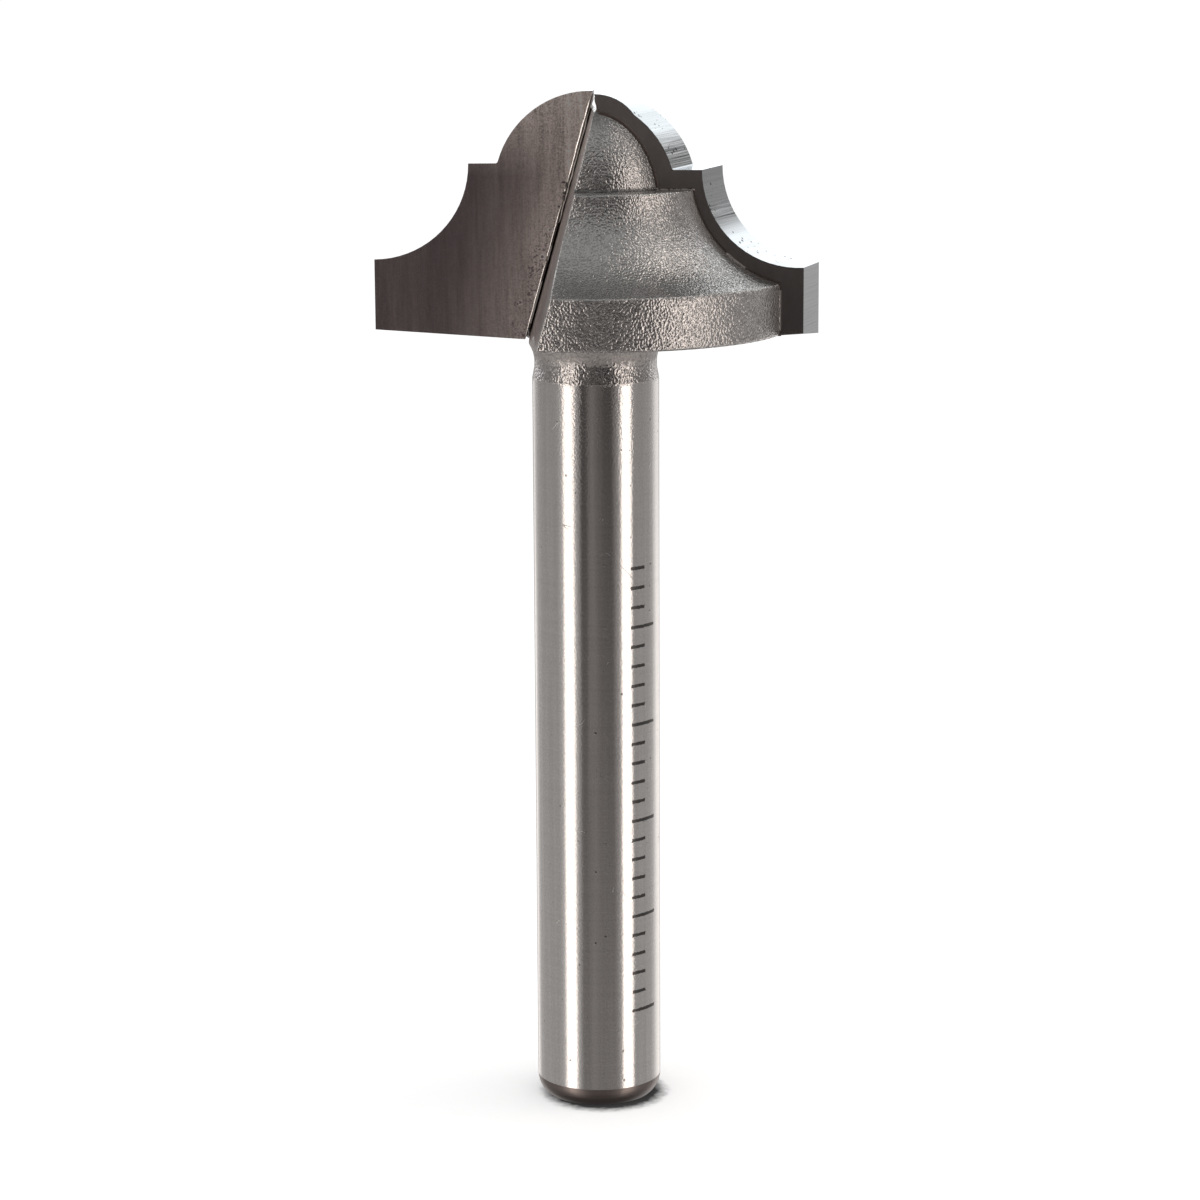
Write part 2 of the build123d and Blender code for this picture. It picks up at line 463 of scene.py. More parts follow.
def scattered_specks():
    """Sparse small specks, with a mask that is 1 inside a speck."""
    group, given, result = new_group(
        "Scattered specks",
        [
            ("Position", "NodeSocketVector", None),
            ("Spacing", "NodeSocketFloat", 0.5 * MM),
            ("Size", "NodeSocketFloat", 0.1),
            ("Share", "NodeSocketFloat", 0.3),
        ],
        ["Mask"],
    )
    density = calculate(group, "DIVIDE", 1.0, given["Spacing"])
    wobble = add_node(group, "ShaderNodeTexNoise", {"Vector": given["Position"], "Scale": 9000.0})
    inputs = {0: wobble.outputs["Color"], 1: (0.05 * MM,) * 3, 2: given["Position"]}
    place = add_node(group, "ShaderNodeVectorMath", inputs, operation="MULTIPLY_ADD").outputs[0]
    cells = add_node(group, "ShaderNodeTexVoronoi", {"Vector": place, "Scale": density})
    chance = add_node(group, "ShaderNodeSeparateColor", {"Color": cells.outputs["Color"]}).outputs
    kept = calculate(group, "LESS_THAN", chance["Red"], given["Share"])
    size = product(group, given["Size"], calculate(group, "ADD", chance["Green"], 0.4))
    near = calculate(group, "LESS_THAN", cells.outputs["Distance"], size)
    group.links.new(product(group, kept, near), result.inputs["Mask"])


def curly_lines():
    """Short curved hairlines, with a mask that is 1 on a line."""
    group, given, result = new_group(
        "Curly lines",
        [
            ("Position", "NodeSocketVector", None),
            ("Size", "NodeSocketFloat", 2.0 * MM),
            ("Width", "NodeSocketFloat", 0.004),
            ("Share", "NodeSocketFloat", 0.3),
        ],
        ["Mask"],
    )
    density = calculate(group, "DIVIDE", 1.0, given["Size"])
    field = speckle(group, given["Position"], density, detail=1.0, roughness=0.4, distortion=0.8)
    off_line = calculate(group, "ABSOLUTE", calculate(group, "SUBTRACT", field, 0.5))
    on_line = calculate(group, "LESS_THAN", off_line, given["Width"])
    patch = speckle(group, given["Position"], product(group, density, 2.0), detail=0.0)
    limit = calculate(group, "SUBTRACT", 0.75, product(group, given["Share"], 0.5))
    kept = calculate(group, "GREATER_THAN", patch, limit)
    group.links.new(product(group, on_line, kept), result.inputs["Mask"])


EFFECTS = {
    "Blasted grain": blasted_grain,
    "Grinding lines": grinding_lines,
    "Scattered specks": scattered_specks,
    "Curly lines": curly_lines,
}


# Materials


def ground_steel(settings):
    """Ground shank: it mirrors what stands beside it, blurred along the axis, and has a depth scale."""
    material, tree, place = new_material("ground_steel")
    grind = use_effect(tree, "Grinding lines", position=place, scale=(90.0, 90.0, 7000.0))
    pits = use_effect(tree, "Scattered specks", position=place, spacing=0.45 * MM, size=0.13, share=0.16)
    scratches = use_effect(tree, "Curly lines", position=place, size=2.0 * MM, width=0.003, share=0.16)
    tone = spread(tree, grind["Tone"], 0.3, 0.7, 0.95, 1.04)
    mottle = spread(tree, speckle(tree, place, 12000.0, detail=1.0), 0.3, 0.7, 0.94, 1.06)
    colour = shade(tree, shade(tree, settings.ground_colour, tone), mottle)
    streaks = use_effect(tree, "Grinding lines", position=place, scale=(3500.0, 3500.0, 60.0))
    colour = shade(tree, colour, spread(tree, streaks["Tone"], 0.35, 0.65, 0.9, 1.08))
    etched = etched_scale(tree, place, settings)
    colour = mix_colours(tree, etched, colour, settings.mark_colour)
    colour = mix_colours(tree, product(tree, pits["Mask"], 0.8), colour, settings.mark_colour)
    marked = calculate(tree, "MAXIMUM", etched, scratches["Mask"])
    roughness = mix_values(tree, marked, settings.ground_roughness, 0.5)

    # Relief: fine waves, stronger towards the neck, pits and scratches, and the ragged end of the blasting
    z = axes_of(tree, place)["Z"]
    waviness = spread(tree, z, 30 * MM, 36 * MM, 0.7, 1.8)
    waves = product(tree, speckle(tree, place, 9500.0), waviness)
    height = calculate(tree, "MULTIPLY_ADD", grind["Height"], 0.4, waves)
    height = calculate(tree, "SUBTRACT", height, pits["Mask"])
    height = calculate(tree, "SUBTRACT", height, product(tree, scratches["Mask"], 0.3))
    ragged = calculate(tree, "MULTIPLY_ADD", speckle(tree, place, 4200.0), 0.5 * MM, z)
    blasted = calculate(tree, "GREATER_THAN", ragged, GROUND_TOP + 0.19 * MM)
    grain = use_effect(tree, "Blasted grain", position=place, size=0.08 * MM)
    blast_height = product(tree, grain["Height"], 7.0, blasted)
    coat(tree, colour, roughness, calculate(tree, "ADD", height, blast_height), 0.004 * MM, stretched=1.0)
    return material


def etched_scale(tree, place, settings):
    """Mask of a plain depth scale: a mark each millimetre, and a longer one each fifth."""
    first_angle = radians(35)
    first_height, last_height = 4.5 * MM, 28.5 * MM
    short_mark, long_mark, mark_width = 0.9 * MM, 1.7 * MM, 0.17 * MM
    x, y, z = axes_of(tree, place)
    angle = calculate(tree, "ARCTAN2", x, product(tree, y, -1.0))
    along = product(tree, calculate(tree, "SUBTRACT", angle, first_angle), SHANK_RADIUS)
    uneven = calculate(tree, "SUBTRACT", speckle(tree, place, 9000.0), 0.5)
    along = calculate(tree, "MULTIPLY_ADD", uneven, 0.15 * MM, along)
    uneven_height = calculate(tree, "MULTIPLY_ADD", uneven, 0.1 * MM, z)
    count = calculate(tree, "DIVIDE", uneven_height, settings.mark_pitch)
    number = calculate(tree, "ROUND", count)
    off_mark = calculate(tree, "ABSOLUTE", calculate(tree, "SUBTRACT", count, number))
    in_fives = calculate(tree, "ABSOLUTE", calculate(tree, "WRAP", number, 2.5, -2.5))
    is_long = calculate(tree, "LESS_THAN", in_fives, 0.5)
    length = mix_values(tree, is_long, short_mark, long_mark)
    return product(
        tree,
        calculate(tree, "LESS_THAN", off_mark, mark_width / settings.mark_pitch / 2),
        calculate(tree, "GREATER_THAN", along, 0.0),
        calculate(tree, "LESS_THAN", along, length),
        calculate(tree, "GREATER_THAN", z, first_height),
        calculate(tree, "LESS_THAN", z, last_height),
    )


def blasted_steel(settings):
    """Bead-blasted neck and head: fine bright dimples on a warm grey, matt on the flare of the neck."""
    material, tree, place = new_material("blasted_steel")
    x, y, z = axes_of(tree, place)
    above_band = calculate(tree, "GREATER_THAN", z, BAND_TOP)
    neck = spread(tree, z, SEAM_FOOT - 0.1 * MM, SEAM_FOOT, 1.0, 0.0)
    ragged = calculate(tree, "MULTIPLY_ADD", speckle(tree, place, 4000.0), 1.0 * MM, z)
    collar = spread(tree, ragged, GROUND_TOP + 1.2 * MM, GROUND_TOP + 1.6 * MM, 1.0, 0.0)

    # Dimples: a little smaller above the band, and shallow on the flare
    grain = use_effect(tree, "Blasted grain", position=place, size=settings.grain_size)
    fine = use_effect(tree, "Blasted grain", position=place, size=0.88 * settings.grain_size)
    grain_height = mix_values(tree, above_band, grain["Height"], fine["Height"])
    head_depth = mix_values(tree, above_band, 1.3, 1.0)
    neck_depth = mix_values(tree, collar, 0.25, 1.0)
    height = product(tree, grain_height, mix_values(tree, neck, head_depth, neck_depth))

    # Gloss: polished specks on the head and on the collar above the ground shank
    specks = spread(tree, speckle(tree, place, 9500.0, detail=1.0), 0.47, 0.52)
    polished = mix_values(tree, neck, specks, product(tree, specks, collar))
    matt = mix_values(tree, neck, settings.blasted_roughness, mix_values(tree, collar, 0.62, 0.08))
    roughness = mix_values(tree, polished, matt, 0.07)

    # Colour: mottled, and darker with painted shade in the dimples, beside the seats on the dome, and in the
    # crease at the dome's foot
    tone = spread(tree, grain["Tone"], 0.3, 0.7, 0.93, 1.07)
    colour = shade(tree, settings.blasted_colour, tone)
    # Painted shade in the dimples
    colour = shade(tree, colour, spread(tree, grain_height, 0.45, 0.62, 0.75, 1.0))
    colour = shade(tree, colour, mix_values(tree, neck, 1.0, mix_values(tree, collar, 0.93, 1.0)))
    # Painted shade beside the tips' seats on the dome
    off_seat = calculate(tree, "SUBTRACT", calculate(tree, "ABSOLUTE", y), abs(BACK_DEPTH))
    seat_shade = spread(tree, off_seat, 0.1 * MM, 0.75 * MM, 0.55, 1.0)
    on_dome = spread(tree, z, WEB_TOP - 3.75 * MM, WEB_TOP - 3.3 * MM)
    colour = shade(tree, colour, mix_values(tree, on_dome, 1.0, seat_shade))
    # Painted shade in the crease at the dome's foot
    off_foot = calculate(tree, "SUBTRACT", off_axis(tree, x, y), DOME_FOOT_RADIUS)
    off_shoulder = calculate(tree, "SUBTRACT", z, SHOULDER_TOP)
    distances = [calculate(tree, "ABSOLUTE", distance) for distance in (off_foot, off_shoulder)]
    off_crease = calculate(tree, "ADD", *distances)
    colour = shade(tree, colour, spread(tree, off_crease, 0.08 * MM, 0.22 * MM, 0.35, 1.0))
    coat(tree, colour, roughness, height, settings.grain_depth, metallic=0.89)
    return material


def turned_steel(settings):
    """Turned end of the shank: dark and fine-lined, and darker towards the floor with painted contact shade.
    """
    material, tree, place = new_material("turned_steel")
    x, y, z = axes_of(tree, place)
    across = off_axis(tree, x, y)
    rings = add_node(tree, "ShaderNodeCombineXYZ", {"X": across, "Z": z}).outputs["Vector"]
    cuts = use_effect(tree, "Grinding lines", position=rings, scale=(9000.0, 1.0, 9000.0))
    colour = shade(tree, settings.turned_colour, spread(tree, cuts["Tone"], 0.3, 0.7, 0.8, 1.15))
    # Painted contact shade: darker towards the floor
    colour = shade(tree, colour, spread(tree, z, 0.0, GROUND_FOOT, 0.3, 1.15))
    coat(tree, colour, 0.34, cuts["Height"], 0.004 * MM)
    return material


def milled_steel(settings):
    """Milled gullets: smooth grey-brown steel with faint tool lines, and painted shade that darkens it into
    the slit beside a tip.
    """
    material, tree, place = new_material("milled_steel")
    cuts = use_effect(tree, "Grinding lines", position=place, scale=(900.0, 900.0, 5000.0))
    patches = speckle(tree, place, 900.0, detail=3.0)
    tone = calculate(tree, "MULTIPLY_ADD", patches, 0.3, spread(tree, cuts["Tone"], 0.3, 0.7, 0.7, 1.0))
    x, y, _ = axes_of(tree, place)
    # Painted shade: darker towards the slit beside each tip
    towards_tip = product(tree, calculate(tree, "SIGN", x), y, -1.0)
    tone = product(tree, tone, spread(tree, towards_tip, -1.6 * MM, 0.5 * MM, 1.0, 0.3))
    coat(tree, shade(tree, settings.milled_colour, tone), 0.4, cuts["Height"], 0.004 * MM)
    return material


def off_inner_edge(tree, place):
    """Distance from the inner edge of a tip, measured level across its rake face."""
    x, _, z = axes_of(tree, place)
    drop = calculate(tree, "SUBTRACT", CUTTING_POINT.z, z)
    edge = calculate(tree, "MULTIPLY_ADD", drop, INNER_SLOPE, CUTTING_POINT.x)
    return calculate(tree, "SUBTRACT", calculate(tree, "ABSOLUTE", x), edge)


def carbide_rake(settings):
    """Rake face: painted light keeps it dark towards the rim and lighter towards the inner edge and the
    point; streaked up and down, and pitted beside the solder.
    """
    material, tree, place = new_material("carbide_rake")
    z = axes_of(tree, place)["Z"]
    distance = off_inner_edge(tree, place)

    # Painted light: lighter towards the inner edge and towards the point, in soft streaks
    near = calculate(tree, "POWER", spread(tree, distance, 0.1 * MM, 5.4 * MM, 1.0, 0.0), 1.5)
    high = spread(tree, z, 47.2 * MM, 51.4 * MM, 0.0, 1.05)
    light = calculate(tree, "MULTIPLY_ADD", near, 0.68, high)
    close = spread(tree, distance, 0.2 * MM, 1.7 * MM, 0.3, 0.0)
    light = calculate(tree, "ADD", light, product(tree, close, spread(tree, z, 41 * MM, 44 * MM)))
    broad = use_effect(tree, "Grinding lines", position=place, scale=(2600.0, 2600.0, 200.0))
    streaks = product(tree, calculate(tree, "SUBTRACT", broad["Tone"], 0.5), 0.45)
    light = calculate(tree, "ADD", light, streaks, clamp=True)
    colour = mix_colours(tree, light, settings.rake_dark, settings.rake_light)

    # Fine lines and a mottle over them, both stronger where the face is light
    cuts = use_effect(tree, "Grinding lines", position=place, scale=(8000.0, 8000.0, 500.0))
    lines = calculate(tree, "SUBTRACT", cuts["Tone"], 0.5)
    mottle = calculate(tree, "SUBTRACT", speckle(tree, place, 14000.0, detail=1.0), 0.5)
    fine = calculate(tree, "MULTIPLY_ADD", mottle, 0.9, product(tree, lines, 1.8))
    strength = calculate(tree, "ADD", light, 0.45)
    colour = shade(tree, colour, calculate(tree, "MULTIPLY_ADD", fine, strength, 1.0))

    # Pits with light rims and short curls beside the solder, mostly low down, and a few dark spots
    edge_zone = spread(tree, distance, 0.2 * MM, 1.5 * MM, 1.0, 0.0)
    low_zone = spread(tree, z, 41.0 * MM, 47.0 * MM, 1.0, 0.25)
    zone = product(tree, edge_zone, low_zone)
    rough = calculate(tree, "GREATER_THAN", zone, speckle(tree, place, 900.0, detail=1.0, roughness=0.7))
    curls = use_effect(tree, "Curly lines", position=place, size=0.3 * MM, width=0.04, share=0.6)
    pits = use_effect(tree, "Scattered specks", position=place, spacing=0.38 * MM, size=0.16, share=0.5)
    rims = use_effect(tree, "Scattered specks", position=place, spacing=0.38 * MM, size=0.3, share=0.5)
    spots = use_effect(tree, "Scattered specks", position=place, spacing=0.7 * MM, size=0.1, share=0.16)
    damage = product(tree, calculate(tree, "MAXIMUM", curls["Mask"], pits["Mask"]), rough)
    colour = shade(tree, colour, mix_values(tree, product(tree, rims["Mask"], rough), 1.0, 1.4))
    colour = mix_colours(tree, product(tree, damage, 0.8), colour, settings.rake_dark)
    colour = mix_colours(tree, product(tree, spots["Mask"], 0.7), colour, (0.03, 0.028, 0.027))
    height = calculate(tree, "SUBTRACT", cuts["Height"], product(tree, damage, 6.0))
    coat(tree, colour, 0.36, height, 0.005 * MM, metallic=0.93)
    return material


def carbide_back(settings):
    """Back of a tip: dark, and a little lighter towards the point with painted light."""
    material, tree, place = new_material("carbide_back")
    z = axes_of(tree, place)["Z"]
    cuts = use_effect(tree, "Grinding lines", position=place, scale=(2500.0, 2500.0, 900.0))
    lines = spread(tree, cuts["Tone"], 0.3, 0.7, 0.85, 1.12)
    # Painted light: lighter towards the point
    tone = product(tree, lines, spread(tree, z, 40 * MM, 50 * MM, 0.78, 1.3))
    coat(tree, shade(tree, settings.back_colour, tone), 0.4, cuts["Height"], 0.004 * MM)
    return material


def carbide_relief(settings):
    """Relief ground behind the edges: bright, lined along the thickness, and chipped above the rim."""
    material, tree, place = new_material("carbide_relief")
    _, y, z = axes_of(tree, place)
    depth = calculate(tree, "ABSOLUTE", y)
    level = calculate(tree, "MULTIPLY_ADD", depth, 0.06, z)
    across = add_node(tree, "ShaderNodeCombineXYZ", {"Y": depth, "Z": level}).outputs["Vector"]
    cuts = use_effect(tree, "Grinding lines", position=across, scale=(1.0, 200.0, 15000.0))
    lined = [between(tree, z, *ends) for ends in RELIEF_LINES]
    strength = calculate(tree, "ADD", calculate(tree, "MAXIMUM", *lined), 0.15)
    lines = product(tree, calculate(tree, "SUBTRACT", cuts["Height"], 0.5), strength)
    colour = shade(tree, settings.relief_colour, calculate(tree, "MULTIPLY_ADD", lines, 3.9, 1.0))
    # Painted light: darker on the rim, and lighter just above it, fading out by 45.2 mm
    above_rim = calculate(tree, "GREATER_THAN", z, RIM_TOP)
    painted_light_by_height = mix_values(tree, above_rim, 0.9, spread(tree, z, 44.0 * MM, 45.2 * MM, 1.13, 1.0))
    colour = shade(tree, colour, painted_light_by_height)
    chips = use_effect(tree, "Scattered specks", position=place, spacing=0.26 * MM, size=0.25, share=0.8)
    in_patch = calculate(tree, "GREATER_THAN", speckle(tree, place, 700.0, detail=1.0), 0.52)
    dark = product(tree, chips["Mask"], in_patch, above_rim)
    colour = mix_colours(tree, product(tree, dark, 0.9), colour, (0.08, 0.08, 0.085))
    coat(tree, colour, 0.16, cuts["Height"], 0.002 * MM)
    return material


def solder(name, stretches, shine, settings):
    """Silver solder, which shines between the heights of each stretch and is tarnished elsewhere."""
    material, tree, place = new_material(name)
    z = axes_of(tree, place)["Z"]
    uneven = calculate(tree, "MULTIPLY_ADD", speckle(tree, place, 5000.0), 0.4 * MM, z)
    bright = 0.0
    for low, high in stretches:
        above = calculate(tree, "GREATER_THAN", uneven, low + 0.2 * MM)
        below = calculate(tree, "LESS_THAN", uneven, high + 0.2 * MM)
        bright = calculate(tree, "MAXIMUM", product(tree, above, below), bright)
    bright = product(tree, bright, shine)
    colour = mix_colours(tree, bright, settings.dull_colour, settings.solder_colour)
    roughness = mix_values(tree, bright, 0.5, 0.15)
    coat(tree, colour, roughness, speckle(tree, place, 9000.0), 0.012 * MM)
    return material


def burnt_flux(settings):
    """Burnt flux: a dark crust with a dull shine."""
    material, tree, place = new_material("burnt_flux")
    crust = speckle(tree, place, 9000.0, detail=3.0)
    colour = shade(tree, settings.flux_colour, spread(tree, crust, 0.3, 0.7, 0.4, 1.5))
    coat(tree, colour, 0.35, crust, 0.03 * MM, metallic=0.0)
    return material


# Mesh tools


def new_piece(name, builder, turn, material):
    """A finished mesh as a piece that rides on the bit, with the material that it is given."""
    bmesh.ops.transform(builder, matrix=turn, verts=builder.verts)
    bmesh.ops.recalc_face_normals(builder, faces=builder.faces)
    mesh = bpy.data.meshes.new(name)
    builder.to_mesh(mesh)
    builder.free()
    for polygon in mesh.polygons:
        polygon.use_smooth = True
    mesh.materials.append(material)
    piece = bpy.data.objects.new(name, mesh)
    bpy.context.scene.collection.objects.link(piece)
    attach(piece, BODY)
    return piece


def loft(builder, rings):
    """Skins a row of closed rings and caps both ends."""
    rows = [[builder.verts.new(point) for point in ring] for ring in rings]
    for first, second in zip(rows, rows[1:]):
        for place in range(len(first)):
            after = (place + 1) % len(first)
            builder.faces.new((first[place], first[after], second[after], second[place]))
    builder.faces.new(rows[0][::-1])
    builder.faces.new(rows[-1])


def add_lump(builder, centre, size, seed):
    """Adds an uneven rounded lump."""
    made = bmesh.ops.create_icosphere(builder, subdivisions=4, radius=1.0)["verts"]
    for vertex in made:
        swell = 1.0 + 0.35 * noise.noise(vertex.co * 1.6 + Vector((seed, 0, 0)))
        swell += 0.12 * noise.noise(vertex.co * 5.0 + Vector((0, seed, 0)))
        vertex.co = centre + Vector(part * swell * width for part, width in zip(vertex.co, size))


def set_materials(node_name, materials, chooser):
    """Gives a node its materials, one for each face as the chooser says."""
    mesh = frame["nodes"][node_name].data
    mesh.materials.clear()
    for material in materials:
        mesh.materials.append(material)
    for polygon in mesh.polygons:
        polygon.material_index = materials.index(chooser(polygon))


def add_bead(builder, low, high, radius, shift, seed):
    """Adds an uneven bead of solder along the right tip's inner edge, between two heights."""
    step = 0.05 * MM
    sides = 10
    steps = max(2, round((high - low) / step))
    along = (inner_edge(high) - inner_edge(low)).normalized()
    outwards = Vector((0, 1, 0))
    across = along.cross(outwards)

    # The bead's section is flat and leans, as solder that has wetted the tip's edge does
    lean = radians(26)
    flat_normal = outwards * cos(lean) - across * sin(lean)
    flat_along = outwards * sin(lean) + across * cos(lean)
    rings = []
    for place in range(steps + 1):
        share = place / steps
        centre = inner_edge(low + (high - low) * share)
        wobble = noise.noise(centre / (0.6 * MM) + Vector((seed, 0, 0)))
        ripple = noise.noise(centre / (0.16 * MM) + Vector((0, seed, 0)))
        taper = min(1.0, 6 * share + 0.15, 6 * (1 - share) + 0.15)
        reach = radius * taper * (1.0 + 0.45 * wobble + 0.25 * ripple)
        centre = centre + across * (shift * (1 + 0.5 * wobble))
        angles = [2 * pi * side / sides for side in range(sides)]
        rings.append([centre + (flat_along * cos(a) + flat_normal * (sin(a) * 0.5)) * reach for a in angles])
    loft(builder, rings)


def add_point_fillet(builder, seed):
    """Adds the solder that runs up the right tip's inner face from the top of the web."""
    steps, rows = 26, 12
    front, back = RAKE_DEPTH - 0.03 * MM, BACK_DEPTH + 0.05 * MM
    top, foot = CUTTING_POINT.z - 0.12 * MM, WEB_TOP - 0.02 * MM
    rings = []
    for step in range(steps + 1):
        depth = front + (back - front) * step / steps
        outer, inner = [], []
        for row in range(rows + 1):
            share = row / rows
            height = foot + (top - foot) * share
            face = inner_edge(height).x
            uneven = noise.noise(Vector((depth / (0.3 * MM), height / (0.25 * MM), seed)))
            layer = FILLET_LAYER * (1 - share) ** 0.35 * (1 + 0.45 * uneven)
            swell = FILLET_FOOT * max(0.0, 1 - share * 4.0) ** 2
            outer.append(Vector((face - layer - swell, depth, height)))
            inner.append(Vector((face + 0.02 * MM, depth, height)))
        rings.append(outer + inner[::-1])
    loft(builder, rings)


# Studio

TENT_RADIUS = 260 * MM
TENT_CENTRE = 30 * MM

# Brightness of the tent below its top, by the angle to the right of the camera
TENT_LIGHT = (
    (-180, 0.3), (-166, 0.3), (-159, 1.0), (-152, 1.0), (-146, 0.56), (-134, 0.36), (-76, 0.33), (-64, 0.6),
    (-61.5, 2.0), (-43.5, 2.0), (-40, 0.44), (-30, 0.25), (-27, 0.0), (-18, 0.0), (-14, 0.17), (-4, 0.17),
    (12, 0.03), (27, 0.0), (34, 0.2), (45, 0.34), (48, 1.95), (66, 1.95), (69, 0.32), (94, 0.35), (96, 0.25),
    (98, 0.35), (112, 0.36), (124, 0.46), (140, 0.95), (159, 1.0), (166, 0.3), (180, 0.3),
)
FRONT_TOP_LIGHT = 0.43
BACK_TOP_LIGHT = 0.13
BACK_LIGHT = 1.85
GROUND_LIGHT = 0.26
WARM_TINT = (1.0, 0.87, 0.84)
PLAIN_TINT = (1.0, 0.965, 0.945)
TOP_TINT = (0.98, 1.0, 1.0)
STRIP_TINT = (1.0, 0.9, 0.84)
BACK_TINT = (0.955, 0.985, 1.0)

# Soft lamps: angle to the right of the camera, elevation from the head, distance, width, height, radiance
LAMPS = (
    ("left_lamp", -52, 12, 150 * MM, 44 * MM, 110 * MM, 0.25),
    ("right_lamp", 57, 12, 150 * MM, 44 * MM, 110 * MM, 0.25),
    ("overhead_lamp", 98, 57, 190 * MM, 66 * MM, 66 * MM, 2.4),
)


def direction(angle, settings):
    """Level direction at an angle to the right of the camera, seen from the bit."""
    turn = radians(angle) + settings.azimuth
    return Vector((sin(turn), -cos(turn), 0.0))


def stand_camera(settings):
    """A camera that looks at the aim point from the photograph's angle."""
    back = direction(0, settings) * cos(settings.elevation) + Vector((0, 0, sin(settings.elevation)))
    camera = bpy.data.objects.new("camera", bpy.data.cameras.new("camera"))
    camera.data.sensor_width = 36.0
    camera.data.lens = settings.lens
    camera.data.clip_start, camera.data.clip_end = 1 * MM, 10.0
    camera.location = Vector(settings.aim) + back * settings.distance
    camera.rotation_mode = "QUATERNION"
    camera.rotation_quaternion = (-back).to_track_quat("-Z", "Y") @ Quaternion((0, 0, 1), settings.roll)
    bpy.context.scene.collection.objects.link(camera)
    bpy.context.scene.camera = camera


def seen_directly(tree):
    """1 for the rays of the camera, of reflections and of glass, and 0 for the rest."""
    path = tree.nodes.new("ShaderNodeLightPath").outputs
    camera_or_mirror = calculate(tree, "MAXIMUM", path["Is Camera Ray"], path["Is Glossy Ray"])
    return calculate(tree, "MAXIMUM", camera_or_mirror, path["Is Transmission Ray"])


def light_sky(settings):
    """White surroundings, a little weaker on matt surfaces."""
    world = bpy.data.worlds.new("white_surroundings")
    bpy.context.scene.world = world
    world.use_nodes = True
    tree = world.node_tree
    tree.nodes.clear()
    strength = spread(tree, seen_directly(tree), 0.0, 1.0, settings.sky, 1.0)
    sky = add_node(tree, "ShaderNodeBackground", {"Color": (1, 1, 1, 1), "Strength": strength})
    add_node(tree, "ShaderNodeOutputWorld", {"Surface": sky.outputs[0]})


def stage_object(name, builder, material):
    """A mesh that belongs to the studio and not to the bit."""
    mesh = bpy.data.meshes.new(name)
    builder.to_mesh(mesh)
    builder.free()
    mesh.materials.append(material)
    made = bpy.data.objects.new(name, mesh)
    bpy.context.scene.collection.objects.link(made)
    return made


def lay_floor(settings):
    """A pale floor that keeps the bit's shadow, with a painted contact shadow close round the shank, and
    lifted to white elsewhere.
    """
    half_width = 4.0
    material, tree, place = new_material("floor_paper")
    x, y, _ = axes_of(tree, place)
    # Painted contact shadow: a ragged dark ring round the shank's end, set a little to the right and towards
    # the camera, which also takes away the lift
    x = calculate(tree, "SUBTRACT", x, 0.3 * MM)
    y = calculate(tree, "ADD", y, 0.5 * MM)
    reach = off_axis(tree, x, y)
    uneven = calculate(tree, "MULTIPLY_ADD", speckle(tree, place, 2500.0), 0.5 * MM, reach)
    painted_contact_shadow = spread(tree, uneven, 0.9 * SHANK_RADIUS, 1.16 * SHANK_RADIUS, 0.06, 1.0)
    lift = product(tree, seen_directly(tree), settings.floor_lift, painted_contact_shadow)
    matt = add_node(tree, "ShaderNodeBsdfDiffuse", {"Color": shade(tree, settings.floor_colour, painted_contact_shadow)})
    glow = add_node(tree, "ShaderNodeEmission", {"Strength": lift})
    both = add_node(tree, "ShaderNodeAddShader", {0: matt.outputs[0], 1: glow.outputs[0]})
    add_node(tree, "ShaderNodeOutputMaterial", {"Surface": both.outputs[0]})
    builder = bmesh.new()
    bmesh.ops.create_grid(builder, x_segments=8, y_segments=8, size=half_width)
    floor = stage_object("floor", builder, material)
    floor.visible_glossy = False


